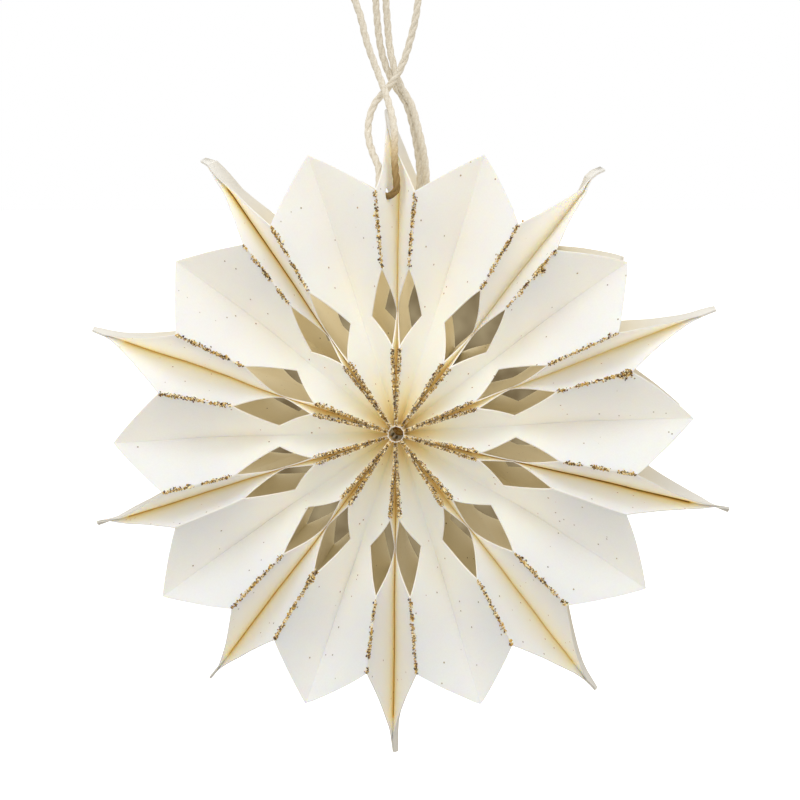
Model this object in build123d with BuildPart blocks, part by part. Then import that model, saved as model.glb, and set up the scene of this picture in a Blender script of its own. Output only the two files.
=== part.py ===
"""Paper star ornament: ten gusseted paper bags fanned round one axis, hung on two cotton cords.

The axis of the star is Y, its front faces -Y and its middle plane is XZ, with Z up.
Angles are degrees clockwise from straight up, seen from the front.
"""

import os
from math import cos, hypot, pi, radians, sin, sqrt, tan

from build123d import *

# Paper bags: sizes of the folded sheet
panel_half_width = 42.0
gusset_depth = 21.5
paper_thickness = 0.3
core_radius = 2.3
opening_flare = 3.34

# Distances from the axis, along a ridge or a joint
ridge_length = 72.8
tip_lengths = [98.0, 101.0, 103.4, 105.0, 102.8, 103.4, 101.4, 101.9, 101.7, 103.4]
petal_lengths = [87.6, 86.0, 89.6, 88.8, 86.8, 87.6, 87.8, 86.6, 84.6, 87.8]
crease_rise_reach = 90.5
notch_start = 25.5
notch_apex = 36.0
notch_end = 50.2
notch_depth = 13.7
tip_glue_half_width = 4.0
petal_tip_sink = 8.5

# Where the ten glued joints stand, and how far each panel's ridge leans away from its joint
joint_angles = [-0.4, 37.6, 69.3, 104.5, 144.0, 181.5, 217.0, 251.6, 286.8, 323.8]
left_lean_angles = [4.4, 7.2, 3.8, 5.2, 8.7, 6.0, 6.5, 4.6, 7.3, 2.8]
right_lean_angles = [4.6, 3.4, 5.7, 4.5, 7.0, 5.5, 6.0, 3.9, 7.2, 4.7]
bag_count = len(joint_angles)
full_turn = 360.0
farthest_reach = max(tip_lengths + petal_lengths)

# Cords: the strand, the hole in the left end panel and the two knots
cord_diameter = 2.8
cord_hole_diameter = 4.2
cord_hole_place = (-3.4, -30.0, 71.6)
knot_length = 9.0
hanging_knot_diameter = 9.0
inner_knot_diameter = 6.4
knot_neck_share = 0.86

# Routes of the cords, as points from end to end
left_cord_route = [
    (-7.5, -1.5, 160.0),
    (-7.5, -1.5, 157.0),
    (-10.2, -2.4, 153.6),
    (-15.0, -3.8, 148.0),
    (-17.0, -4.5, 140.0),
    (-15.4, -5.0, 132.8),
    (-12.8, -6.0, 126.4),
    (-11.2, -7.0, 118.8),
    (-7.6, -8.2, 109.4),
    (-4.2, -12.0, 101.0),
    (-1.2, -18.0, 92.0),
    (-0.3, -23.5, 83.8),
    (-0.4, -28.2, 78.2),
    (-0.4, -30.0, 73.4),
    (-2.2, -30.0, 71.5),
    (-4.8, -30.0, 71.5),
    (-6.6, -29.0, 73.4),
    (-6.2, -24.4, 77.6),
    (-6.4, -19.4, 82.0),
    (-8.6, -15.6, 86.4),
    (-10.2, -12.4, 91.6),
    (-9.6, -9.2, 97.2),
    (-7.6, -6.6, 101.2),
    (-4.6, -5.0, 104.2),
    (-0.4, -4.2, 110.4),
    (2.2, -4.0, 118.6),
    (4.4, -4.0, 127.4),
    (5.0, -3.6, 136.4),
    (3.2, -3.0, 145.0),
    (-1.6, -2.2, 152.4),
    (-4.5, -1.5, 157.0),
    (-4.5, -1.5, 160.0),
]
right_cord_left_route = [
    (2.8, 0.0, 58.0),
    (2.8, 0.0, 63.0),
    (4.6, -1.6, 70.0),
    (4.9, -2.6, 76.6),
    (4.1, -3.4, 83.4),
    (3.4, -3.2, 90.2),
    (3.3, -1.4, 97.2),
    (0.9, 0.8, 102.6),
    (-3.0, 1.6, 105.8),
    (-6.0, 1.6, 110.4),
    (-7.5, 1.6, 116.4),
    (-8.2, 1.6, 124.4),
    (-8.9, 1.5, 133.0),
    (-9.2, 1.5, 142.0),
    (-8.5, 1.5, 150.4),
    (-7.5, 1.5, 156.0),
    (-7.5, 1.5, 160.0),
]
right_cord_right_route = [
    (5.6, 0.0, 58.0),
    (5.6, 0.0, 62.6),
    (7.8, -1.6, 70.0),
    (8.1, -2.6, 76.6),
    (7.3, -3.4, 83.6),
    (6.6, -3.2, 90.6),
    (6.2, -1.2, 98.0),
    (3.6, 1.0, 104.6),
    (-0.6, 1.8, 108.2),
    (-3.2, 1.8, 112.6),
    (-4.6, 1.8, 118.0),
    (-5.2, 1.8, 126.0),
    (-5.8, 1.7, 134.0),
    (-6.1, 1.6, 142.0),
    (-5.3, 1.5, 150.4),
    (-4.5, 1.5, 156.0),
    (-4.5, 1.5, 160.0),
]
bend_share = 0.45

# One overrun serves all cuts, and one small angle lets neighbouring cuts overlap
cut_overrun = 12.0
cut_overlap_angle = 0.4


def direction(angle):
    """Radial direction in the middle plane."""
    return Vector(sin(radians(angle)), 0, cos(radians(angle)))


def across(angle):
    """Direction of growing angle in the middle plane."""
    return Vector(cos(radians(angle)), 0, -sin(radians(angle)))


class BagShape:
    """Angles of one bag, measured from the middle of its petals."""

    def __init__(self, index):
        following = (index + 1) % bag_count
        turn = full_turn if following == 0 else 0
        first_joint = joint_angles[index]
        last_joint = joint_angles[following] + turn
        first_ridge = first_joint + right_lean_angles[index]
        last_ridge = last_joint - left_lean_angles[following]
        self.middle = (first_ridge + last_ridge) / 2
        self.half_petal = (last_ridge - first_ridge) / 2
        self.joints = (first_joint - self.middle, last_joint - self.middle)
        self.tips = (tip_lengths[index], tip_lengths[following])
        self.petal_length = petal_lengths[index]


def glue_half_width(reach):
    """Half width of the strip where two panels lie against each other."""
    return panel_half_width - (panel_half_width - tip_glue_half_width) * reach / farthest_reach


def opening_reach():
    """Reach where the layers part and the inside of a bag begins, set by the flare beyond the glue."""
    return opening_flare * farthest_reach / (panel_half_width - tip_glue_half_width)


def ridge_height(reach, gap):
    """Distance of a ridge from the middle plane, with the panel keeping its width."""
    strip = glue_half_width(reach)
    return strip + sqrt((panel_half_width - strip) ** 2 - gap**2)


def crease_height(reach, half_angle):
    """Distance of a gusset's crease from the middle plane, as a fold that opens outwards."""
    apex_spread = notch_apex * sin(radians(half_angle))
    apex_height = panel_half_width - sqrt(gusset_depth**2 - apex_spread**2)
    centre_height = panel_half_width - gusset_depth
    if reach <= notch_apex:
        return centre_height + (apex_height - centre_height) * reach / notch_apex
    tip_height = panel_half_width - petal_tip_sink
    share = (reach - notch_apex) / (crease_rise_reach - notch_apex)
    return apex_height + (tip_height - apex_height) * share


def outer_corners(shape, reach):
    """Outline of the folded tube where it is cut square across, as (sideways, back) points."""
    left_joint, right_joint = (reach * tan(radians(angle)) for angle in shape.joints)
    ridge = reach * tan(radians(shape.half_petal))
    strip = glue_half_width(reach)
    left_height = ridge_height(reach, -ridge - left_joint)
    right_height = ridge_height(reach, right_joint - ridge)
    crease = crease_height(reach, shape.half_petal)
    front = [
        (left_joint, -strip),
        (-ridge, -left_height),
        (0, -crease),
        (ridge, -right_height),
        (right_joint, -strip),
    ]
    back = [(sideways, -height) for sideways, height in reversed(front)]
    return front + back


def inset_line(start, end, distance):
    """A line moved to its left by a distance, as a point and a direction."""
    along = (end[0] - start[0], end[1] - start[1])
    length = hypot(*along)
    unit = (along[0] / length, along[1] / length)
    return (start[0] - unit[1] * distance, start[1] + unit[0] * distance), unit


def crossing(first, second):
    """Point where two lines cross."""
    (x1, y1), (dx1, dy1) = first
    (x2, y2), (dx2, dy2) = second
    step = ((x2 - x1) * dy2 - (y2 - y1) * dx2) / (dx1 * dy2 - dy1 * dx2)
    return (x1 + step * dx1, y1 + step * dy1)


def inner_corners(shape, reach):
    """The same outline one paper thickness further in, with the creases cut blunt."""
    corners = outer_corners(shape, reach)
    lines = []
    for place, start in enumerate(corners):
        end = corners[(place + 1) % len(corners)]
        if start[0] == 0:
            side = 1 if start[1] < 0 else -1
            lines.append(((0, start[1] + side * paper_thickness), (side, 0)))
        lines.append(inset_line(start, end, paper_thickness))
    return [crossing(lines[place - 1], line) for place, line in enumerate(lines)]


def section_plane(shape, reach):
    """Plane square across a bag, with local x sideways and local y to the back."""
    middle = direction(shape.middle)
    return Plane(origin=middle * reach, x_dir=across(shape.middle), z_dir=middle)


def face_plane(shape):
    """Middle plane seen from the front, with local y along the bag."""
    return Plane(origin=(0, 0, 0), x_dir=across(shape.middle), z_dir=(0, -1, 0))


def joint_plane(shape, joint):
    """Plane of a glued joint, with local x outwards and local y to the back."""
    outwards = direction(shape.middle + joint)
    return Plane(origin=(0, 0, 0), x_dir=outwards, z_dir=-across(shape.middle + joint))


def polar(reach, angle):
    """Point of the face plane at a distance from the axis and an angle from the bag's middle."""
    return (reach * sin(radians(angle)), reach * cos(radians(angle)))


def petal_cutter(shape):
    """What is cut away between the ridges: the pointed petal ends and the gussets' notches."""
    reach = farthest_reach + cut_overrun
    edge = shape.half_petal + cut_overlap_angle
    kept_share = 1 - notch_depth / gusset_depth
    waist = notch_apex * sin(radians(shape.half_petal)) * kept_share
    with BuildPart() as cutter:
        with BuildSketch(face_plane(shape)):
            with BuildLine():
                Polyline(
                    polar(ridge_length, -edge),
                    (0, shape.petal_length),
                    polar(ridge_length, edge),
                    polar(reach, edge),
                    polar(reach, -edge),
                    close=True,
                )
            make_face()
            for side in (-1, 1):
                with BuildLine():
                    Polyline(
                        polar(notch_start, side * edge),
                        polar(notch_end, side * edge),
                        (side * waist, notch_apex * cos(radians(shape.half_petal))),
                        close=True,
                    )
                make_face()
        extrude(amount=panel_half_width + cut_overrun, both=True)
    return cutter.part


def panel_cutter(shape, side):
    """What is cut away of one panel: its pointed end and its two notches."""
    joint = shape.joints[side]
    tip = shape.tips[side]
    sign = (-1, 1)[side]
    lean = abs(joint) - shape.half_petal
    shoulder = ridge_length * cos(radians(lean))
    shoulder_height = ridge_height(shoulder, ridge_length * sin(radians(lean)))
    outside = panel_half_width + cut_overrun
    reach = farthest_reach + cut_overrun
    with BuildPart() as cutter:
        with BuildSketch(joint_plane(shape, joint)):
            with BuildLine():
                Polyline(
                    (shoulder, -outside),
                    (shoulder, -shoulder_height),
                    (tip, 0),
                    (shoulder, shoulder_height),
                    (shoulder, outside),
                    (reach, outside),
                    (reach, -outside),
                    close=True,
                )
            make_face()
            for back in (-1, 1):
                with BuildLine():
                    Polyline(
                        (notch_start, back * panel_half_width),
                        (notch_start, back * outside),
                        (notch_end, back * outside),
                        (notch_end, back * panel_half_width),
                        (notch_apex, back * (panel_half_width - notch_depth)),
                        close=True,
                    )
                make_face()
        extrude(amount=panel_half_width, both=True)
        with BuildSketch(face_plane(shape)):
            with BuildLine():
                Polyline(
                    (0, 0),
                    polar(reach + cut_overrun, joint + sign * cut_overlap_angle),
                    polar(reach + cut_overrun, sign * (shape.half_petal - cut_overlap_angle)),
                    close=True,
                )
            make_face()
        extrude(amount=outside + cut_overrun, both=True, mode=Mode.INTERSECT)
    return cutter.part


def paper_bag(index):
    """One bag: a folded tube whose inner end is pressed flat and glued, and whose mouth is cut."""
    shape = BagShape(index)
    stations = (notch_apex, farthest_reach)
    cutters = [petal_cutter(shape), panel_cutter(shape, 0), panel_cutter(shape, 1)]
    with BuildPart() as bag:
        for station in (core_radius, *stations):
            with BuildSketch(section_plane(shape, station)):
                with BuildLine():
                    Polyline(*outer_corners(shape, station), close=True)
                make_face()
        loft(ruled=True)
        for station in (opening_reach(), *stations):
            with BuildSketch(section_plane(shape, station)):
                with BuildLine():
                    Polyline(*inner_corners(shape, station), close=True)
                make_face()
        loft(ruled=True, mode=Mode.SUBTRACT)
        for cutter in cutters:
            add(cutter, mode=Mode.SUBTRACT)
        if index == bag_count - 1:
            with Locations(Plane(origin=cord_hole_place, z_dir=(1, 0, 0))):
                Cylinder(cord_hole_diameter / 2, cord_hole_diameter, mode=Mode.SUBTRACT)
    return bag.part


def bend_radii(route):
    """Radius at each inner point of a route: as large as its two runs allow."""
    points = [Vector(*point) for point in route]
    radii = []
    for before, point, after in zip(points, points[1:], points[2:]):
        turn = (point - before).get_angle(after - point)
        shorter_run = min((point - before).length, (after - point).length)
        radii.append(bend_share * shorter_run / tan(radians(turn / 2)))
    return radii


def cord(name, route):
    """A round cotton cord along a route of straight runs joined by arcs."""
    radii = bend_radii(route)
    start = Vector(*route[0])
    with BuildPart() as strand:
        with BuildLine() as path:
            FilletPolyline(*route, radius=radii)
        with BuildSketch(Plane(origin=start, z_dir=Vector(*route[1]) - start)):
            Circle(cord_diameter / 2)
        sweep(path=path.wire())
    section = pi * cord_diameter**2 / 4
    print(name, "tightest", round(min(radii), 2), "length", round(path.wire().length, 1))
    print(name, "volume over section", round(strand.part.volume / section, 1))
    return strand.part


def barrel_knot(bottom, diameter):
    """A wound knot: a barrel with flat ends, where the strands go in."""
    neck = knot_neck_share * diameter / 2
    with BuildPart() as knot:
        with BuildSketch(Plane(origin=bottom, x_dir=(1, 0, 0), z_dir=(0, -1, 0))):
            with BuildLine():
                Polyline((neck, 0), (0, 0), (0, knot_length), (neck, knot_length))
                ThreePointArc((neck, knot_length), (diameter / 2, knot_length / 2), (neck, 0))
            make_face()
        revolve(axis=Axis(bottom, (0, 0, 1)))
    return knot.part


def keep(name, piece):
    """Label a finished piece and write it out."""
    piece.label = name
    export_step(piece, f"parts/{name}.step")


os.makedirs("parts", exist_ok=True)

for index in range(bag_count):
    keep(f"paper_bag_{index + 1:02d}", paper_bag(index))

keep("left_cord", cord("left_cord", left_cord_route))
keep("right_cord_left_strand", cord("right_cord_left_strand", right_cord_left_route))
keep("right_cord_right_strand", cord("right_cord_right_strand", right_cord_right_route))

hanging_knot_bottom = [sum(place) / 2 for place in zip(left_cord_route[0], right_cord_right_route[-1])]
keep("hanging_knot", barrel_knot(tuple(hanging_knot_bottom), hanging_knot_diameter))

inner_knot_top = [sum(place) / 2 for place in zip(right_cord_left_route[0], right_cord_right_route[0])]
inner_knot_bottom = (inner_knot_top[0], inner_knot_top[1], inner_knot_top[2] - knot_length)
keep("inner_knot", barrel_knot(inner_knot_bottom, inner_knot_diameter))
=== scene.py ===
"""Paper star ornament: folded paper bags with glitter on their ridges, hung on cotton cords.

Lengths are in metres. The axis of the star is Y, its front faces -Y, and +Z is up.
Angles are degrees clockwise from straight up, seen from the front.
"""

import random
from math import cos, pi, radians, sin

import bmesh
import bpy
import numpy as np
from mathutils import Matrix, Vector, noise


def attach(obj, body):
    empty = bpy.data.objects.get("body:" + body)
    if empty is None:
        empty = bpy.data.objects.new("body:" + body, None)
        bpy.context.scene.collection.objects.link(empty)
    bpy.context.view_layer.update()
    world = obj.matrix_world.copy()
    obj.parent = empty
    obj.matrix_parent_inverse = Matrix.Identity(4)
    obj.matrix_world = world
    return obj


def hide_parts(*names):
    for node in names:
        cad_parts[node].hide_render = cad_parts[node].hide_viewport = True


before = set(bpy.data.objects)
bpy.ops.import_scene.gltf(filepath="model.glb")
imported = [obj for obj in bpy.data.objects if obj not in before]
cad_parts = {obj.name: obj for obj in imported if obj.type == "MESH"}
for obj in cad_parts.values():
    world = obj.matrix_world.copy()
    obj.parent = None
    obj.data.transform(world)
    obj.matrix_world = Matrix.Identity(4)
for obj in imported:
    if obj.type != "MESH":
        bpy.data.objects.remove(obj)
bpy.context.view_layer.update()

# Paper bags: sizes of the folded sheet
panel_half_width = 0.042
gusset_depth = 0.0215
paper_thickness = 0.0003
core_radius = 0.0023

# Distances from the axis, along a ridge or a joint
ridge_length = 0.0728
tip_lengths = [0.098, 0.101, 0.1034, 0.105, 0.1028, 0.1034, 0.1014, 0.1019, 0.1017, 0.1034]
petal_lengths = [0.0876, 0.086, 0.0896, 0.0888, 0.0868, 0.0876, 0.0878, 0.0866, 0.0846, 0.0878]
crease_rise_reach = 0.0905
notch_start = 0.0255
notch_apex = 0.036
notch_end = 0.0502
notch_depth = 0.0137
tip_glue_half_width = 0.004
petal_tip_sink = 0.0085
farthest_reach = max(tip_lengths)

# Where the ten glued joints stand, and how far each panel's ridge leans away from its joint
joint_angles = [-0.4, 37.6, 69.3, 104.5, 144.0, 181.5, 217.0, 251.6, 286.8, 323.8]
left_lean_angles = [4.4, 7.2, 3.8, 5.2, 8.7, 6.0, 6.5, 4.6, 7.3, 2.8]
right_lean_angles = [4.6, 3.4, 5.7, 4.5, 7.0, 5.5, 6.0, 3.9, 7.2, 4.7]
bag_count = len(joint_angles)
full_turn = 360.0
mirrors = (1, -1)

# How the paper bends
flare_power = 1.3
gusset_bulge = 0.0005
core_press_share = 0.5
bowl_start = 0.02
bowl_end = 0.052
bowl_rise = 0.011
glue_gap = 0.00004
wave_length = 0.03
wave_height = 0.0005
ripple_length = 0.009
ripple_height = 0.00012
wave_seed = 7

# How much shorter the back is cut, and the bag whose back is as long as its front
back_petal_trim = 0.0022
back_ridge_trim = 0.0025
untrimmed_backs = {1}

# Ends of the joints: narrow strips that twist and bend
tip_half_height = 0.0009
twist_lengths = [0.02, 0.011, 0.009, 0.009, 0.009, 0.009, 0.009, 0.009, 0.009, 0.014]
twist_full_share = 0.5
tip_face_half_widths = [-0.001, 0.001, 0.0006, -0.0006, 0.0003, 0.0005, -0.0001, 0.0005, -0.0005, -0.0012]
bend_lengths = [0.0252, 0.009, 0.009, 0.009, 0.009, 0.009, 0.009, 0.009, 0.009, 0.004]
tip_bends = [-0.0042, 0.0006, 0.0004, 0.0002, 0, -0.0004, 0.0003, 0.0002, -0.0002, -0.0018]
tip_bows = [0, -0.0016, 0, 0, 0, 0, 0, 0, 0, 0.0003]
bend_power = 1.3

# Where painted glow and painted shade fall in the folds: along the leaves, along the seams and round the core
glow_reaches = (0.0023, 0.006, 0.012, 0.02, 0.05, 0.06)
glow_values = (0.925, 0.9, 0.85, 0.68, 0.5, 0.2)
seam_shares = [0.9, 0.76, 0.88, 1.0, 0.9, 0.95, 0.94, 0.95, 0.94, 0.99]
tip_fade_height = 0.008
core_valley_share = 0.91
core_valley_reaches = (0.022, 0.056)
ridge_fade_share = 0.15
rim_shade_share = 0.9
# Where the painted shade on the inside turns from tan to the tip grey
tip_shade_reaches = (0.06, 0.088)

# Mesh steps: columns along the sheet and rows across it
core_columns = 13
notch_rise_columns = 7
notch_fall_columns = 9
petal_columns = 13
tip_columns = 12
panel_rows = 16
cap_rows = int(panel_rows * (panel_half_width - gusset_depth) / panel_half_width)
gusset_rows = 9
weld_share = 0.05
sharp_fold_angle = 22.0

# Cord hole in the last bag's closing panel
cord_hole_diameter = 0.0042
cord_hole_place = (-0.0034, -0.03, 0.0716)
cord_hole_sides = 24

# Glitter: grains along the ridges, dense near the core and sparse on the petals
grain_seed = 11
grain_length = 0.0011
grain_size_shares = (0.55, 1.15)
flake_stretch_shares = [(0.6, 1), (0.5, 0.9), (0.25, 0.45)]
grain_lift = 0.0003
dense_start = 0.0027
dense_spacing = 0.00003
dense_width = 0.002
sparse_spacing = 0.00005
sparse_width = 0.0011
sparse_gap_length = 0.004
sparse_gap_levels = (-0.5, 0.3)
bare_ridges = {(3, 0), (6, 1)}

# Clumps of glitter: bag, side and distance from the axis
clump_places = [(2, 0, 0.0712), (5, 1, 0.0508), (1, 0, 0.0655)]
clump_grains = 90
clump_width = 0.0032
clump_spread = clump_width / 3

# Cords
cord_diameter = 0.0028
cord_width_share = 0.82
ply_count = 3
ply_radius_share = 0.6
ply_sides = 10
twist_length = 0.011
# Where the painted shade on the left cord is deepest and where it ends
cord_shade_heights = (0.072, 0.092)
cord_shade_reach = 0.0045
left_cord_length = 0.2073
right_cord_left_length = 0.1065
right_cord_right_length = 0.1064
route_order = 3
route_resolution = 12

# Knots
knot_length = 0.009
hanging_knot_diameter = 0.009
inner_knot_diameter = 0.0064
knot_turns = 3
knot_steps = 28
knot_core_shares = (0.02, 0.5, 0.98)
knot_core_inset_share = 0.4
knot_core_sides = 16

# Routes of the cords, as points from end to end
left_cord_route = [
    (-0.0075, -0.0015, 0.160),
    (-0.0082, -0.0018, 0.1566),
    (-0.0112, -0.0027, 0.1524),
    (-0.015, -0.0038, 0.148),
    (-0.017, -0.0045, 0.140),
    (-0.0154, -0.005, 0.1328),
    (-0.0128, -0.006, 0.1264),
    (-0.0112, -0.007, 0.1188),
    (-0.0076, -0.0082, 0.1094),
    (-0.0042, -0.012, 0.101),
    (-0.0016, -0.018, 0.092),
    (-0.0015, -0.0235, 0.0838),
    (-0.001, -0.0278, 0.0784),
    (-0.0004, -0.0294, 0.0755),
    (-0.0004, -0.0302, 0.0734),
    (-0.0014, -0.0304, 0.0717),
    (-0.0033, -0.0302, 0.0711),
    (-0.005, -0.0293, 0.0718),
    (-0.0059, -0.0276, 0.0732),
    (-0.006, -0.0253, 0.0751),
    (-0.0062, -0.021, 0.0798),
    (-0.0083, -0.0175, 0.0837),
    (-0.0099, -0.0145, 0.088),
    (-0.0104, -0.0115, 0.0926),
    (-0.0095, -0.0092, 0.0974),
    (-0.0076, -0.0066, 0.1012),
    (-0.0046, -0.005, 0.1042),
    (-0.0004, -0.0042, 0.1104),
    (0.0022, -0.004, 0.1186),
    (0.0044, -0.004, 0.1274),
    (0.005, -0.0036, 0.1364),
    (0.0032, -0.003, 0.145),
    (-0.0006, -0.0022, 0.1518),
    (-0.0036, -0.0017, 0.1564),
    (-0.0045, -0.0015, 0.160),
]
right_cord_left_route = [
    (0.0028, 0.0, 0.058),
    (0.0028, 0.0, 0.063),
    (0.0046, -0.0004, 0.070),
    (0.0052, 0.0, 0.0755),
    (0.005, 0.0004, 0.0803),
    (0.0044, 0.0006, 0.0851),
    (0.0036, 0.0008, 0.0895),
    (0.0028, 0.0008, 0.0933),
    (0.0018, 0.001, 0.0972),
    (0.0003, 0.0012, 0.101),
    (-0.0025, 0.0016, 0.1048),
    (-0.0047, 0.0016, 0.109),
    (-0.0064, 0.0016, 0.1137),
    (-0.0075, 0.0016, 0.1184),
    (-0.0082, 0.0016, 0.1244),
    (-0.0089, 0.0015, 0.133),
    (-0.0092, 0.0015, 0.142),
    (-0.0085, 0.0015, 0.1504),
    (-0.0075, 0.0015, 0.156),
    (-0.0075, 0.0015, 0.160),
]
right_cord_right_route = [
    (0.0056, 0.0, 0.058),
    (0.0056, 0.0, 0.0626),
    (0.0074, -0.0018, 0.070),
    (0.0073, -0.0024, 0.0755),
    (0.007, -0.0024, 0.0803),
    (0.0063, -0.0022, 0.0851),
    (0.0053, -0.0018, 0.0895),
    (0.0043, -0.0014, 0.0933),
    (0.0033, -0.001, 0.0972),
    (0.002, -0.0006, 0.1007),
    (-0.0006, -0.0002, 0.1045),
    (-0.0024, 0.0004, 0.109),
    (-0.0037, 0.001, 0.1137),
    (-0.0046, 0.0016, 0.1184),
    (-0.0052, 0.0018, 0.126),
    (-0.0058, 0.0017, 0.134),
    (-0.0061, 0.0016, 0.142),
    (-0.0053, 0.0015, 0.1504),
    (-0.0045, 0.0015, 0.156),
    (-0.0045, 0.0015, 0.160),
]

# Colours of the paper, with stops of place and colour for its tints. The inside tones and the tip grey are
# painted shade; the valley tints are painted shade and the valley glows painted glow
white = (1, 1, 1)
black = (0, 0, 0)
paper_cream = (0.97, 0.932, 0.866)
paper_pale = (0.988, 0.96, 0.908)
# Painted shade: the inside is the same paper, given warm tan tones for the shade inside the bag and a grey
# toward the tips
inside_shade_tan = (0.93, 0.825, 0.58)
inside_shade_pale = (0.945, 0.87, 0.665)
tip_shade_grey = (0.80, 0.785, 0.74)
speck_brown = (0.36, 0.28, 0.18)
fibre_shades = [(0.3, (0.975, 0.97, 0.96)), (0.7, white)]
speck_sizes = [(0.08, white), (0.13, black)]
speck_rarity = [(0.28, white), (0.3, black)]
# Painted shade: warm tints that darken the paper into the folds and seams
valley_shade_tints = [
    (0.0, white),
    (0.45, (1.0, 0.99, 0.97)),
    (0.7, (1.0, 0.97, 0.895)),
    (0.85, (1.0, 0.93, 0.77)),
    (0.92, (0.92, 0.77, 0.47)),
    (0.97, (0.6, 0.43, 0.17)),
    (1.0, (0.34, 0.22, 0.06)),
]
# Painted glow: emission in the folds, standing for light through the paper
valley_painted_glows = [
    (0.1, black),
    (0.2, (0.018, 0.019, 0.022)),
    (0.4, (0.045, 0.045, 0.04)),
    (0.65, (0.07, 0.064, 0.053)),
    (0.85, (0.085, 0.07, 0.04)),
    (0.92, (0.08, 0.054, 0.02)),
    (0.97, (0.02, 0.012, 0.003)),
]

# Colours of the cords and the glitter; the cord tints are painted shade where the cord goes down into the
# fold
cotton_shades = [(0.25, (0.68, 0.61, 0.49)), (0.6, (0.81, 0.765, 0.67))]
cord_shade_tints = [
    (0.0, white),
    (0.35, (0.8, 0.68, 0.48)),
    (0.6, (0.5, 0.37, 0.19)),
    (1.0, (0.34, 0.24, 0.11)),
]
# The grains' own dark brown and gold, with the palest stop a painted glint
grain_tones_and_glints = [
    (0.0, (0.05, 0.022, 0.004)),
    (0.34, (0.15, 0.07, 0.012)),
    (0.38, (0.45, 0.25, 0.04)),
    (0.7, (0.72, 0.47, 0.11)),
    (0.76, (1.0, 0.88, 0.55)),
]

# Surfaces: texture scales per metre, and how they take light
cloud_scale = 60
cloud_detail = 3
fibre_scale = 1900
fibre_detail = 4
speck_scale = 380
light_reach = 0.0012
light_reach_shares = (1, 0.75, 0.42)
paper_roughness = 0.85
paper_gloss = 0.15
paper_tooth_strength = 0.12
paper_tooth_height = paper_thickness / 2
cotton_scale = 1500
cotton_detail = 5
cotton_roughness = 0.9
cotton_gloss = 0.1
cotton_tooth_strength = 0.5
cotton_tooth_height = 0.0003
glitter_metal_share = 0.2
glitter_roughness = 0.45

# Camera
camera_distance = 1.0
camera_right_angle = 3.2
camera_up_angle = 3.8
view_width = 0.25
sensor_millimetres = 36.0
aim_point = (-0.0011, 0.0, 0.0075)

# Studio
floor_height = -0.16
floor_half_size = 30.0
floor_tones = [(0, (0.96, 0.96, 0.955)), (1, (0.98, 0.98, 0.975))]
floor_scale = 3
floor_glow = 0.55
# A disc of painted shadow behind the star, seen through its notches
backing_radius = 0.06
backing_depth = 0.046
backing_sides = 48
backing_scale = 90
backing_shadow_tones = [(0.35, (0.17, 0.125, 0.065)), (0.65, (0.34, 0.275, 0.16))]
studio_detail = 2
core_shadow_brown = (0.075, 0.02, 0.006)
core_shade_radii = (0.006, 0.012)
sky_low_strength = 0.49
sky_high_strength = 1.18
sky_colours = [(0, (1, 0.96, 0.89)), (1, white)]
lamp_place = (-0.1, -1.1, 1.6)
lamp_size = 1.0
lamp_power = 7.0
lamp_colour = (1, 0.975, 0.93)


def direction(angle):
    """Radial direction in the middle plane."""
    return np.stack([np.sin(np.radians(angle)), np.zeros_like(angle), np.cos(np.radians(angle))], axis=-1)


def place(reach, angle, depth):
    """Point at a distance from the axis, an angle, and a distance to the front of the middle plane."""
    reach, angle, depth = np.broadcast_arrays(*(np.asarray(value, float) for value in (reach, angle, depth)))
    point = direction(angle) * reach[..., None]
    point[..., 1] = -depth
    return point


class BagShape:
    """Angles of one bag, and the lines of its folded sheet."""

    def __init__(self, index):
        following = (index + 1) % bag_count
        turn = full_turn if following == 0 else 0
        self.joints = (joint_angles[index], joint_angles[following] + turn)
        self.leans = (right_lean_angles[index], -left_lean_angles[following])
        self.ridges = tuple(joint + lean for joint, lean in zip(self.joints, self.leans))
        self.middle = sum(self.ridges) / 2
        self.half_petal = (self.ridges[1] - self.ridges[0]) / 2
        self.joint_indices = (index, following)
        self.tips = (tip_lengths[index], tip_lengths[following])
        self.petal_length = petal_lengths[index]
        self.trimmed = index not in untrimmed_backs
        self.inside = place(notch_end, self.middle, 0)

    def fold_lengths(self, mirror):
        """Lengths of the ridges and of the petal, on the front or on the back."""
        if mirror < 0 and self.trimmed:
            return ridge_length - back_ridge_trim, self.petal_length - back_petal_trim
        return ridge_length, self.petal_length


def fade(reach, start, end):
    """Smooth change from 1 before a start to 0 after an end."""
    share = np.clip((end - reach) / (end - start), 0, 1)
    return share * share * (3 - 2 * share)


def lean_at(reach, lean):
    """Lean of a ridge: pressed together near the core, free beyond the notch."""
    return lean * (1 - core_press_share * fade(reach, notch_start, notch_end))


def glue_half_width(reach):
    """Half width of the strip where two panels lie against each other."""
    return panel_half_width - (panel_half_width - tip_glue_half_width) * reach / farthest_reach


def ridge_height(reach, lean):
    """Distance of a ridge from the middle plane, with the panel keeping its width."""
    strip = glue_half_width(reach)
    gap = reach * np.sin(np.radians(abs(lean_at(reach, lean))))
    return strip + np.sqrt(np.maximum((panel_half_width - strip) ** 2 - gap**2, 0))


def crease_height(reach, half_angle):
    """Distance of a gusset's crease from the middle plane: a smooth fold that opens outwards."""
    apex_spread = notch_apex * sin(radians(half_angle))
    centre = panel_half_width - gusset_depth
    apex = panel_half_width - (gusset_depth**2 - apex_spread**2) ** 0.5
    tip = panel_half_width - petal_tip_sink
    share = reach / crease_rise_reach
    apex_share = notch_apex / crease_rise_reach
    bend = ((tip - centre) - (apex - centre) / apex_share) / (1 - apex_share)
    slope = (tip - centre) - bend
    return centre + slope * share + bend * share**2


def beside_joint(shape, side):
    """Direction across a joint, in the middle plane."""
    return direction(np.asarray(shape.joints[side] + full_turn / 4, float))


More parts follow.
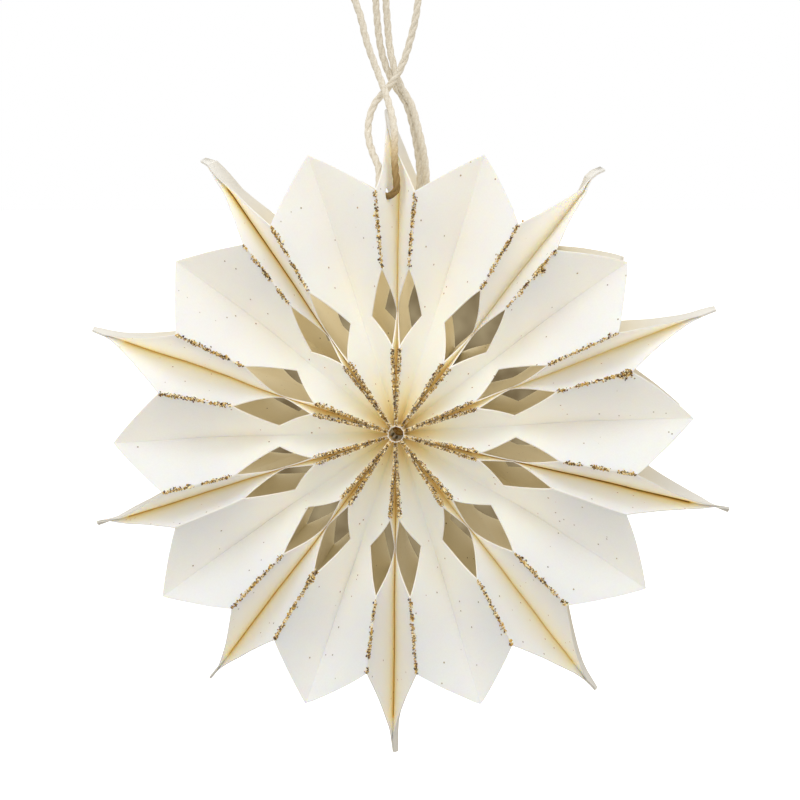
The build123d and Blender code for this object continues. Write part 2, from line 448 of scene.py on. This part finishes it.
def panel_points(shape, side, reach, across):
    """Points of an end panel, glued flat and then flaring away from its joint, with the flare's share."""
    strip = glue_half_width(reach)
    share = np.clip((across - strip) / (panel_half_width - strip), 0, 1)
    angle = shape.joints[side] + lean_at(reach, shape.leans[side]) * share**flare_power
    depth = np.minimum(across, strip) + (ridge_height(reach, shape.leans[side]) - strip) * share
    inwards = (1, -1)[side]
    return place(reach, angle, depth) + beside_joint(shape, side) * inwards * glue_gap, share


def twisted_tip(shape, side, reach, points):
    """The narrow end of a joint, turned so that a strip of its face shows, and bent to one side."""
    joint = shape.joint_indices[side]
    left = shape.tips[side] - reach
    turned = beside_joint(shape, side)
    tops = np.maximum(abs(points[..., 1]).max(axis=1, keepdims=True), tip_half_height)
    shown = np.clip(1 - left / twist_lengths[joint], 0, 1)
    face = tip_face_half_widths[joint] * np.minimum(1, shown / twist_full_share)
    twist = np.arcsin(np.clip(face / tops, -1, 1))
    bent = np.clip(1 - left / bend_lengths[joint], 0, 1)
    bend = tip_bends[joint] * bent**bend_power + tip_bows[joint] * np.sin(pi * bent)
    beside = points @ turned
    depth = points[..., 1]
    moved = beside * np.cos(twist) - depth * np.sin(twist) + bend
    points = points + turned * (moved - beside)[..., None]
    points[..., 1] = beside * np.sin(twist) + depth * np.cos(twist)
    return points


def gusset_points(shape, side, reach, down):
    """Points of a gusset half, from its ridge at 0 to its crease: a soft bowl near the core."""
    reach = np.asarray(reach, float)
    share = down / gusset_depth
    bowl = fade(reach, bowl_start, bowl_end)
    ridge_angle = shape.joints[side] + lean_at(reach, shape.leans[side])
    ridge = place(reach, ridge_angle, ridge_height(reach, shape.leans[side]))
    crease = place(reach, shape.middle, crease_height(reach, shape.half_petal) + bowl_rise * bowl)
    points = ridge + (crease - ridge) * share[..., None]
    sunk_share = share + (np.sin(share * pi / 2) - share) * bowl
    points[..., 1] = ridge[..., 1] + (crease[..., 1] - ridge[..., 1]) * sunk_share
    points[..., 1] -= 4 * share * (1 - share) * gusset_bulge * np.clip(reach / ridge_length, 0, 1)
    return points


def waved(points):
    """Points moved by the soft waves of handled paper, the same for sheets that touch."""
    moved = []
    for point in points:
        vector = Vector(point)
        wave = noise.noise_vector(vector / wave_length) * wave_height
        ripple = noise.noise_vector(vector / ripple_length) * ripple_height
        share = min(1, vector.xz.length / notch_start)
        moved.append(vector + (wave + ripple) * share)
    return moved


def spaced(*stops):
    """Even steps between stops, given as place, count, place, count, place."""
    values = [stops[0]]
    for count, end in zip(stops[1::2], stops[2::2]):
        start = values[-1]
        values += [start + (end - start) * (step + 1) / count for step in range(count)]
    return np.array(values)


def bag_columns(ridge, end):
    """Distances from the axis of the mesh columns of a panel or a gusset."""
    return spaced(
        core_radius, core_columns, notch_start, notch_rise_columns, notch_apex, notch_fall_columns,
        notch_end, petal_columns, ridge, tip_columns, end,
    )


def notch_profile(reach):
    """How deep the notch cuts from the ridge into a sheet."""
    return np.interp(reach, (notch_start, notch_apex, notch_end), (0, notch_depth, 0))


class Sheet:
    """Gathers patches of points into the mesh of one folded sheet."""

    def __init__(self, inside):
        self.inside = inside
        self.mesh = bmesh.new()
        self.valley = self.mesh.verts.layers.float.new("valley")
        self.outer = self.mesh.verts.layers.float.new("outer")

    def add(self, grid, valley):
        """A patch of columns and rows, with how deep each point lies in a valley, which sets the painted
        shade and glow of the outside.
        """
        along = grid[1:, 1:] - grid[:-1, :-1]
        beside = grid[:-1, 1:] - grid[1:, :-1]
        outwards = (grid[1:, 1:] + grid[:-1, :-1]) / 2 - self.inside
        flip = np.sum(np.cross(along, beside) * outwards) < 0
        columns, rows = grid.shape[:2]
        made = []
        for point, value in zip(waved(grid.reshape(-1, 3)), valley.ravel()):
            vertex = self.mesh.verts.new(point)
            vertex[self.valley] = value
            # How far out the point lies, which turns the inside's painted shade to the tip grey
            vertex[self.outer] = np.interp(point.xz.length, tip_shade_reaches, (0, 1))
            made.append(vertex)
        for i in range(columns - 1):
            for j in range(rows - 1):
                corners = [i * rows + j, (i + 1) * rows + j, (i + 1) * rows + j + 1, i * rows + j + 1]
                loop = [made[corner] for corner in corners]
                self.mesh.faces.new(reversed(loop) if flip else loop)


def panel_valley(joint, reach, open_share, flare):
    """How deep the points of a panel lie in a valley, for its painted shade and glow: along its seam, and
    everywhere near the core.
    """
    seam = (1 - flare) * open_share * seam_shares[joint]
    core = core_valley_share * fade(reach, *core_valley_reaches)
    return np.maximum(seam, core * np.clip((1 - flare) / ridge_fade_share, 0, 1))


def add_panels(sheet, shape):
    """The two end panels, with the strips that close the sheet at the core."""
    ends = []
    row_shares = np.linspace(0, 1, panel_rows + 1)
    for side, tip in enumerate(shape.tips):
        for mirror in mirrors:
            ridge, petal = shape.fold_lengths(mirror)
            reach = bag_columns(ridge, tip)
            slope = np.clip((tip - reach) / (tip - ridge), 0, 1)
            top = np.maximum((panel_half_width - notch_profile(reach)) * slope, tip_half_height)
            open_share = np.where(reach > ridge, (top - glue_half_width(reach)) / tip_fade_height, 1)
            open_share = np.clip(open_share, 0, 1)[:, None]
            grid_reach = np.repeat(reach[:, None], panel_rows + 1, axis=1)
            points, flare = panel_points(shape, side, grid_reach, top[:, None] * row_shares)
            # Painted shade and glow along the seam and near the core
            valley = panel_valley(shape.joint_indices[side], grid_reach, open_share, flare)
            sheet.add(twisted_tip(shape, side, grid_reach, points * (1, mirror, 1)), valley)
        ends.append(points[0, : cap_rows + 1])
    # The closing strips at the core take the deepest painted shade
    for mirror in mirrors:
        sheet.add(np.stack(ends) * (1, mirror, 1), np.ones((2, cap_rows + 1)))


def add_gussets(sheet, shape):
    """The gussets on the front and the back, with the strips that close them at the core."""
    row_shares = np.linspace(0, 1, gusset_rows + 1)
    # The closing strips at the core take deep painted shade
    rim_valley = np.tile(np.clip(rim_shade_share + row_shares, 0, 1), (2, 1))
    for mirror in mirrors:
        groove_ends = []
        ridge, petal = shape.fold_lengths(mirror)
        reach = bag_columns(ridge, petal)
        slope = np.clip((reach - ridge) / (petal - ridge), 0, 1)
        low = notch_profile(reach) + gusset_depth * slope
        grid_reach = np.repeat(reach[:, None], gusset_rows + 1, axis=1)
        down = low[:, None] + (gusset_depth - low)[:, None] * row_shares
        # Painted shade and glow along the leaves, deepest toward the core
        valley = np.interp(grid_reach, glow_reaches, glow_values)
        for side in (0, 1):
            points = gusset_points(shape, side, grid_reach, down) * (1, mirror, 1)
            groove_ends.append(points[0])
            sheet.add(points, valley)
        sheet.add(np.stack(groove_ends), rim_valley)


def bag_object(index):
    """One paper bag as a thin closed sheet with its notches, points and folds."""
    shape = BagShape(index)
    sheet = Sheet(shape.inside)
    add_panels(sheet, shape)
    add_gussets(sheet, shape)
    bmesh.ops.remove_doubles(sheet.mesh, verts=sheet.mesh.verts, dist=paper_thickness * weld_share)
    return finished_sheet(f"bag_{index + 1:02d}", sheet.mesh, index == bag_count - 1)


def linked_object(name, mesh, *materials):
    """An object made of a finished mesh."""
    data = bpy.data.meshes.new(name)
    mesh.to_mesh(data)
    mesh.free()
    for material in materials:
        data.materials.append(material)
    piece = bpy.data.objects.new(name, data)
    bpy.context.scene.collection.objects.link(piece)
    return piece


def smooth_object(name, mesh, material):
    """A smooth object made of a finished mesh."""
    piece = linked_object(name, mesh, material)
    piece.data.shade_smooth()
    return piece


def finished_sheet(name, mesh, pierced):
    """The sheet with its thickness, its sharp folds and, where a cord goes through, its hole."""
    piece = linked_object(name, mesh, paper_outside, paper_inside, paper_edge)
    thick = piece.modifiers.new("thickness", "SOLIDIFY")
    thick.thickness = paper_thickness
    thick.offset = -1
    thick.material_offset = 1
    thick.material_offset_rim = 2
    if pierced:
        cutter = hole_cutter()
        cut = piece.modifiers.new("hole", "BOOLEAN")
        cut.operation = "DIFFERENCE"
        cut.solver = "EXACT"
        cut.object = cutter
    graph = bpy.context.evaluated_depsgraph_get()
    piece.data = bpy.data.meshes.new_from_object(piece.evaluated_get(graph), depsgraph=graph)
    piece.modifiers.clear()
    if pierced:
        bpy.data.objects.remove(cutter)
    piece.data.name = name
    piece.data.shade_smooth()
    piece.data.set_sharp_from_angle(angle=radians(sharp_fold_angle))
    return piece


def hole_cutter():
    """A short rod across the closing panel, where the left cord goes through."""
    mesh = bmesh.new()
    turn = Matrix.Translation(cord_hole_place) @ Matrix.Rotation(pi / 2, 4, "Y")
    radius = cord_hole_diameter / 2
    bmesh.ops.create_cone(
        mesh, cap_ends=True, segments=cord_hole_sides, radius1=radius, radius2=radius,
        depth=2 * cord_hole_diameter, matrix=turn,
    )
    return linked_object("hole_cutter", mesh)


def node(tree, kind, **values):
    """A shader node with its settings."""
    made = tree.nodes.new(kind)
    for name, value in values.items():
        setattr(made, name, value)
    return made


def new_material(name):
    """A material with its tree, its shader and its coordinates in the object's own frame."""
    material = bpy.data.materials.new(name)
    material.use_nodes = True
    tree = material.node_tree
    shader = tree.nodes["Principled BSDF"]
    return material, tree, shader, node(tree, "ShaderNodeTexCoord").outputs["Object"]


def set_inputs(shader, values):
    """Uniform values on a shader's own sockets."""
    for name, value in values.items():
        shader.inputs[name].default_value = value


def attribute_node(tree, name):
    """A value stored on the points of a mesh."""
    return node(tree, "ShaderNodeAttribute", attribute_name=name).outputs["Fac"]


def noise_node(tree, coordinates, scale, detail):
    """A noise texture."""
    made = node(tree, "ShaderNodeTexNoise")
    set_inputs(made, {"Scale": scale, "Detail": detail})
    tree.links.new(coordinates, made.inputs["Vector"])
    return made.outputs["Fac"]


def mix_node(tree, factor, first, second, mode="MIX"):
    """A colour mix whose inputs are sockets or plain colours."""
    made = node(tree, "ShaderNodeMix", data_type="RGBA", blend_type=mode)
    for socket, value in ((made.inputs[0], factor), (made.inputs[6], first), (made.inputs[7], second)):
        if isinstance(value, bpy.types.NodeSocket):
            tree.links.new(value, socket)
        elif isinstance(value, tuple):
            socket.default_value = (*value, 1)
        else:
            socket.default_value = value
    return made.outputs[2]


def ramp_node(tree, value, stops):
    """A colour ramp through stops of place and colour."""
    made = node(tree, "ShaderNodeValToRGB")
    ramp = made.color_ramp
    while len(ramp.elements) < len(stops):
        ramp.elements.new(1)
    for element, (position, colour) in zip(ramp.elements, stops):
        element.position = position
        element.color = (*colour, 1)
    tree.links.new(value, made.inputs["Fac"])
    return made.outputs["Color"]


def range_node(tree, value, *limits):
    """A value carried from one range to another: lowest and highest before, then lowest and highest after."""
    made = node(tree, "ShaderNodeMapRange")
    for socket, limit in zip(made.inputs[1:5], limits):
        socket.default_value = limit
    tree.links.new(value, made.inputs[0])
    return made.outputs[0]


def add_tooth(tree, shader, relief, strength, height):
    """A fine relief on a surface."""
    bump = node(tree, "ShaderNodeBump")
    set_inputs(bump, {"Strength": strength, "Distance": height})
    tree.links.new(relief, bump.inputs["Height"])
    tree.links.new(bump.outputs["Normal"], shader.inputs["Normal"])


def speckled(tree, coordinates, colour):
    """A colour with a few dark specks of plant fibre."""
    specks = node(tree, "ShaderNodeTexVoronoi")
    set_inputs(specks, {"Scale": speck_scale})
    tree.links.new(coordinates, specks.inputs["Vector"])
    size = ramp_node(tree, specks.outputs["Distance"], speck_sizes)
    rare = ramp_node(tree, specks.outputs["Color"], speck_rarity)
    return mix_node(tree, mix_node(tree, 1, size, rare, "MULTIPLY"), colour, speck_brown)


def paper_material(name, first, second, outside):
    """Uncoated handmade paper: cloudy colour, fine fibres and specks, with light seeping into its outside;
    the outside has painted shade and painted glow in the folds, the inside painted shade.
    """
    material, tree, shader, coordinates = new_material(name)
    colour = mix_node(tree, noise_node(tree, coordinates, cloud_scale, cloud_detail), first, second)
    fibre = noise_node(tree, coordinates, fibre_scale, fibre_detail)
    colour = mix_node(tree, 1, colour, ramp_node(tree, fibre, fibre_shades), "MULTIPLY")
    colour = speckled(tree, coordinates, colour)
    if outside:
        # Painted shade and painted glow in the folds: tints that darken the colour, and emission standing for
        # light through the paper
        valley = attribute_node(tree, "valley")
        colour = mix_node(tree, 1, colour, ramp_node(tree, valley, valley_shade_tints), "MULTIPLY")
        tree.links.new(ramp_node(tree, valley, valley_painted_glows), shader.inputs["Emission Color"])
        set_inputs(shader, {"Emission Strength": 1, "Subsurface Weight": 1})
        set_inputs(shader, {"Subsurface Radius": light_reach_shares, "Subsurface Scale": light_reach})
    else:
        # Painted shade: the inside turns grey toward the tips
        colour = mix_node(tree, attribute_node(tree, "outer"), colour, tip_shade_grey)
    tree.links.new(colour, shader.inputs["Base Color"])
    set_inputs(shader, {"Roughness": paper_roughness, "Specular IOR Level": paper_gloss})
    add_tooth(tree, shader, fibre, paper_tooth_strength, paper_tooth_height)
    return material


def cord_material():
    """Undyed cotton: beige with fine fibres, with painted shade where it goes down into the fold."""
    material, tree, shader, coordinates = new_material("cotton_cord")
    fibre = noise_node(tree, coordinates, cotton_scale, cotton_detail)
    tint = ramp_node(tree, attribute_node(tree, "shade"), cord_shade_tints)
    colour = mix_node(tree, 1, ramp_node(tree, fibre, cotton_shades), tint, "MULTIPLY")
    tree.links.new(colour, shader.inputs["Base Color"])
    set_inputs(shader, {"Roughness": cotton_roughness, "Specular IOR Level": cotton_gloss})
    add_tooth(tree, shader, fibre, cotton_tooth_strength, cotton_tooth_height)
    return material


def glitter_material():
    """Gold glitter: each grain has its own colour, from dark brown to gold, and the palest grains are painted
    glints.
    """
    material, tree, shader, coordinates = new_material("gold_glitter")
    tree.links.new(ramp_node(tree, attribute_node(tree, "grain"), grain_tones_and_glints), shader.inputs["Base Color"])
    set_inputs(shader, {"Metallic": glitter_metal_share, "Roughness": glitter_roughness})
    return material


def floor_material():
    """A plain pale floor."""
    material, tree, shader, coordinates = new_material("pale_floor")
    cloud = noise_node(tree, coordinates, floor_scale, studio_detail)
    tree.links.new(ramp_node(tree, cloud, floor_tones), shader.inputs["Base Color"])
    set_inputs(shader, {"Emission Color": (*white, 1), "Emission Strength": floor_glow})
    return material


def backing_material():
    """Painted shadow: dim warm tones glowing on their own, with a darker middle, seen from the front only."""
    material, tree, shader, coordinates = new_material("backing_shade")
    tones = ramp_node(tree, noise_node(tree, coordinates, backing_scale, studio_detail), backing_shadow_tones)
    way = node(tree, "ShaderNodeVectorMath", operation="DISTANCE")
    way.inputs[1].default_value = (0, backing_depth, 0)
    tree.links.new(coordinates, way.inputs[0])
    core = range_node(tree, way.outputs["Value"], *core_shade_radii, 1, 0)
    tree.links.new(mix_node(tree, core, tones, core_shadow_brown), shader.inputs["Emission Color"])
    set_inputs(shader, {"Base Color": (*black, 1), "Specular IOR Level": 0, "Emission Strength": 1})
    facing = node(tree, "ShaderNodeNewGeometry")
    clear = node(tree, "ShaderNodeBsdfTransparent")
    sides = node(tree, "ShaderNodeMixShader")
    tree.links.new(facing.outputs["Backfacing"], sides.inputs[0])
    tree.links.new(shader.outputs[0], sides.inputs[1])
    tree.links.new(clear.outputs[0], sides.inputs[2])
    tree.links.new(sides.outputs[0], tree.nodes["Material Output"].inputs["Surface"])
    return material


def ridge_point(shape, side, reach, off):
    """Point just above a ridge, or a little to one side of it on the panel or the gusset."""
    reach = np.asarray(reach)
    if off < 0:
        point, flare = panel_points(shape, side, reach, panel_half_width + np.asarray(off))
    else:
        point = gusset_points(shape, side, reach, np.asarray(off))
    return point - np.array((0, grain_lift, 0))


def add_grain(mesh, layer, centre, size, tone):
    """One irregular flake with eight faces."""
    axes = [Vector([random.gauss(0, 1) for axis in range(3)]).normalized() for flake_axis in range(2)]
    first = axes[0]
    third = first.cross(axes[1]).normalized()
    second = third.cross(first)
    stretch = [random.uniform(*shares) for shares in flake_stretch_shares]
    arms = [axis * size * share / 2 for axis, share in zip((first, second, third), stretch)]
    corners = []
    for arm in arms:
        for sign in (1, -1):
            vertex = mesh.verts.new(centre + arm * sign)
            vertex[layer] = tone
            corners.append(vertex)
    for a in (0, 1):
        for b in (2, 3):
            for c in (4, 5):
                loop = (corners[a], corners[b], corners[c])
                mesh.faces.new(loop if (a + b + c) % 2 == 0 else loop[::-1])


def add_dense_grains(mesh, layer, shape, side):
    """Glitter that covers a ridge near the core."""
    for grain in range(round((notch_start - dense_start) / dense_spacing)):
        reach = random.uniform(dense_start, notch_start)
        off = random.gauss(0, dense_width / 2)
        add_mirrored_grains(mesh, layer, ridge_point(shape, side, reach, off))


def add_sparse_grains(mesh, layer, shape, side, index):
    """Glitter with gaps along a ridge of the petal."""
    for grain in range(round((ridge_length - notch_end) / sparse_spacing)):
        reach = random.uniform(notch_end, ridge_length)
        off = random.gauss(0, sparse_width / 2)
        level = noise.noise(Vector((reach / sparse_gap_length, index, side)))
        if level < random.uniform(*sparse_gap_levels):
            continue
        add_mirrored_grains(mesh, layer, ridge_point(shape, side, reach, off))


def add_mirrored_grains(mesh, layer, point):
    """One grain on the front and one at the same place on the back."""
    for mirror in mirrors:
        spot = waved([point * (1, mirror, 1)])[0]
        size = grain_length * random.uniform(*grain_size_shares)
        add_grain(mesh, layer, spot, size, random.random())


def add_clump(mesh, layer, shape, side, middle):
    """A thick clump of glitter on the front of a ridge."""
    for grain in range(clump_grains):
        reach = min(random.gauss(middle, clump_spread), ridge_length)
        point = ridge_point(shape, side, reach, random.gauss(0, clump_spread))
        add_grain(mesh, layer, waved([point])[0], grain_length, random.random())


def glitter_object(index):
    """Glitter stuck along the ridges of one bag, on its front and its back."""
    shape = BagShape(index)
    mesh = bmesh.new()
    layer = mesh.verts.layers.float.new("grain")
    for side in (0, 1):
        add_dense_grains(mesh, layer, shape, side)
        if (index, side) not in bare_ridges:
            add_sparse_grains(mesh, layer, shape, side, index)
    for bag, side, middle in clump_places:
        if bag == index:
            add_clump(mesh, layer, shape, side, middle)
    return linked_object(f"glitter_{index + 1:02d}", mesh, gold)


def route_points(route):
    """Points along the smooth spline whose control points are the route."""
    curve = bpy.data.curves.new("route", "CURVE")
    curve.dimensions = "3D"
    spline = curve.splines.new("NURBS")
    spline.points.add(len(route) - 1)
    for control, point in zip(spline.points, route):
        control.co = (*point, 1)
    spline.order_u = route_order
    spline.use_endpoint_u = True
    spline.resolution_u = route_resolution
    carrier = bpy.data.objects.new("route", curve)
    bpy.context.scene.collection.objects.link(carrier)
    graph = bpy.context.evaluated_depsgraph_get()
    line = bpy.data.meshes.new_from_object(carrier.evaluated_get(graph), depsgraph=graph)
    points = [vertex.co.copy() for vertex in line.vertices]
    bpy.data.objects.remove(carrier)
    bpy.data.meshes.remove(line)
    return points


def carried_frames(points):
    """Each point of a line with two directions across it, carried along without twisting."""
    tangents = [(b - a).normalized() for a, b in zip(points[:-1], points[1:])]
    tangents = [tangents[0], *tangents]
    normal = tangents[0].orthogonal().normalized()
    frames = []
    for point, tangent in zip(points, tangents):
        normal = (normal - tangent * normal.dot(tangent)).normalized()
        frames.append((point, normal, tangent.cross(normal)))
    return frames


def tube(mesh, points, radius, sides):
    """A round tube through points."""
    rings = []
    for point, normal, beside in carried_frames(points):
        turns = [2 * pi * side / sides for side in range(sides)]
        rings.append([mesh.verts.new(point + (normal * cos(t) + beside * sin(t)) * radius) for t in turns])
    for ring, following in zip(rings, rings[1:]):
        for side in range(sides):
            beside = (side + 1) % sides
            mesh.faces.new((ring[side], ring[beside], following[beside], following[side]))
    mesh.faces.new(reversed(rings[0]))
    mesh.faces.new(rings[-1])


def plied_paths(points, radius):
    """Paths of the plies that twist round a cord's line."""
    travelled = 0.0
    previous = points[0]
    paths = [[] for ply in range(ply_count)]
    for point, normal, beside in carried_frames(points):
        travelled += (point - previous).length
        previous = point
        for ply, path in enumerate(paths):
            turn = 2 * pi * (travelled / twist_length + ply / ply_count)
            path.append(point + (normal * cos(turn) + beside * sin(turn)) * radius)
    return paths


def add_plies(mesh, points, radius):
    """A cord of twisted plies through points."""
    ply_radius = radius * ply_radius_share
    for path in plied_paths(points, radius - ply_radius):
        tube(mesh, path, ply_radius, ply_sides)


def cord_object(name, points, shaded):
    """A twisted cotton cord that follows points, with painted shade where it goes down into the fold."""
    mesh = bmesh.new()
    add_plies(mesh, points, cord_diameter / 2 * cord_width_share)
    shade = mesh.verts.layers.float.new("shade")
    for vertex in mesh.verts:
        if shaded and abs(vertex.co.x) < cord_shade_reach:
            vertex[shade] = np.interp(vertex.co.z, cord_shade_heights, (1, 0))
    return smooth_object(name, mesh, cotton)


def knot_object(name, bottom, diameter):
    """A knot wound from the cord: turns round a core."""
    mesh = bmesh.new()
    radius = diameter / 2 - cord_diameter / 2
    steps = knot_turns * knot_steps
    rise = knot_length - cord_diameter
    wound = []
    for step in range(steps + 1):
        turn = 2 * pi * step / knot_steps
        height = cord_diameter / 2 + rise * step / steps
        wound.append(Vector(bottom) + Vector((radius * cos(turn), radius * sin(turn), height)))
    add_plies(mesh, wound, cord_diameter / 2)
    core = [Vector(bottom) + Vector((0, 0, knot_length * share)) for share in knot_core_shares]
    tube(mesh, core, diameter / 2 - cord_diameter * knot_core_inset_share, knot_core_sides)
    return smooth_object(name, mesh, cotton)


def keep(piece, slot, *nodes):
    """Fix a piece to the star and hide the solids it stands for."""
    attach(piece, "root")
    if nodes:
        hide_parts(*nodes)
    return piece


def middle_of(first, second):
    """The point halfway between two points."""
    return [sum(pair) / 2 for pair in zip(first, second)]


def turn_to_view(holder, way):
    """Turn a camera or a lamp to look along a direction."""
    holder.rotation_mode = "QUATERNION"
    holder.rotation_quaternion = way.to_track_quat("-Z", "Y")


def add_camera():
    """The camera, a little to the right of the star's axis and a little above it."""
    data = bpy.data.cameras.new("camera")
    data.sensor_width = sensor_millimetres
    data.lens = sensor_millimetres * camera_distance / view_width
    camera = bpy.data.objects.new("camera", data)
    scene.collection.objects.link(camera)
    right, up = radians(camera_right_angle), radians(camera_up_angle)
    back = Vector((sin(right) * cos(up), -cos(right) * cos(up), sin(up)))
    camera.location = Vector(aim_point) + back * camera_distance
    turn_to_view(camera, -back)
    scene.camera = camera


def floor_object():
    """The floor below the star, which doesn't light it."""
    mesh = bmesh.new()
    bmesh.ops.create_grid(mesh, x_segments=1, y_segments=1, size=floor_half_size)
    bmesh.ops.translate(mesh, verts=mesh.verts, vec=(0, 0, floor_height))
    floor = smooth_object("floor", mesh, floor_material())
    floor.visible_diffuse = False
    return floor


def backing_object():
    """A disc of painted shadow behind the star, seen only through its notches and only from its front."""
    mesh = bmesh.new()
    turn = Matrix.Translation((0, backing_depth, 0)) @ Matrix.Rotation(pi / 2, 4, "X")
    bmesh.ops.create_circle(mesh, cap_ends=True, segments=backing_sides, radius=backing_radius, matrix=turn)
    backing = smooth_object("backing", mesh, backing_material())
    backing.visible_diffuse = False
    backing.visible_glossy = False
    backing.visible_transmission = False
    backing.visible_shadow = False
    return backing


def light_sky():
    """A sky that is brighter above than below, with a plain white backdrop."""
    world = bpy.data.worlds.new("studio")
    scene.world = world
    world.use_nodes = True
    tree = world.node_tree
    sky = tree.nodes["Background"]
    way = node(tree, "ShaderNodeTexCoord")
    parts = node(tree, "ShaderNodeSeparateXYZ")
    tree.links.new(way.outputs["Generated"], parts.inputs[0])
    height = parts.outputs["Z"]
    strength = range_node(tree, height, -1, 1, sky_low_strength, sky_high_strength)
    tree.links.new(strength, sky.inputs["Strength"])
    tree.links.new(ramp_node(tree, height, sky_colours), sky.inputs["Color"])
    backdrop = node(tree, "ShaderNodeBackground")
    set_inputs(backdrop, {"Color": (*white, 1)})
    seen = node(tree, "ShaderNodeLightPath")
    choice = node(tree, "ShaderNodeMixShader")
    tree.links.new(seen.outputs["Is Camera Ray"], choice.inputs[0])
    tree.links.new(sky.outputs[0], choice.inputs[1])
    tree.links.new(backdrop.outputs[0], choice.inputs[2])
    tree.links.new(choice.outputs[0], tree.nodes["World Output"].inputs["Surface"])


def add_lamp():
    """A large soft lamp above the front of the star."""
    lamp = bpy.data.lights.new("key_light", "AREA")
    lamp.size = lamp_size
    lamp.color = lamp_colour
    lamp.energy = lamp_power
    holder = bpy.data.objects.new("key_light", lamp)
    holder.location = lamp_place
    turn_to_view(holder, -Vector(lamp_place))
    scene.collection.objects.link(holder)


scene = bpy.context.scene

# Materials
paper_outside = paper_material("paper_outside", paper_cream, paper_pale, True)
paper_inside = paper_material("paper_inside", inside_shade_tan, inside_shade_pale, False)
paper_edge = paper_material("paper_edge", paper_cream, paper_pale, False)
cotton = cord_material()
gold = glitter_material()

# Paper bags
noise.seed_set(wave_seed)
for index in range(bag_count):
    keep(bag_object(index), "paper", f"paper_bag_{index + 1:02d}")

# Glitter
random.seed(grain_seed)
for index in range(bag_count):
    keep(glitter_object(index), "glitter")

# Knots
hanging_bottom = middle_of(left_cord_route[0], right_cord_right_route[-1])
inner_top = middle_of(right_cord_left_route[0], right_cord_right_route[0])
inner_bottom = (inner_top[0], inner_top[1], inner_top[2] - knot_length)
hanging_knot = knot_object("knot_hanging", hanging_bottom, hanging_knot_diameter)
keep(hanging_knot, "cord", "hanging_knot")
inner_knot = knot_object("knot_inner", inner_bottom, inner_knot_diameter)
keep(inner_knot, "cord", "inner_knot")

# Cords
cords = [
    ("left_cord", left_cord_route, left_cord_length, [hanging_knot]),
    ("right_cord_left_strand", right_cord_left_route, right_cord_left_length, [inner_knot]),
    ("right_cord_right_strand", right_cord_right_route, right_cord_right_length, []),
]
for node_name, route, length, knots in cords:
    points = route_points(route)
    piece = keep(cord_object("cord_" + node_name, points, route is left_cord_route), "cord", node_name)

# Studio
add_camera()
floor_object()
backing_object()
light_sky()
add_lamp()
scene.view_settings.view_transform = "Standard"
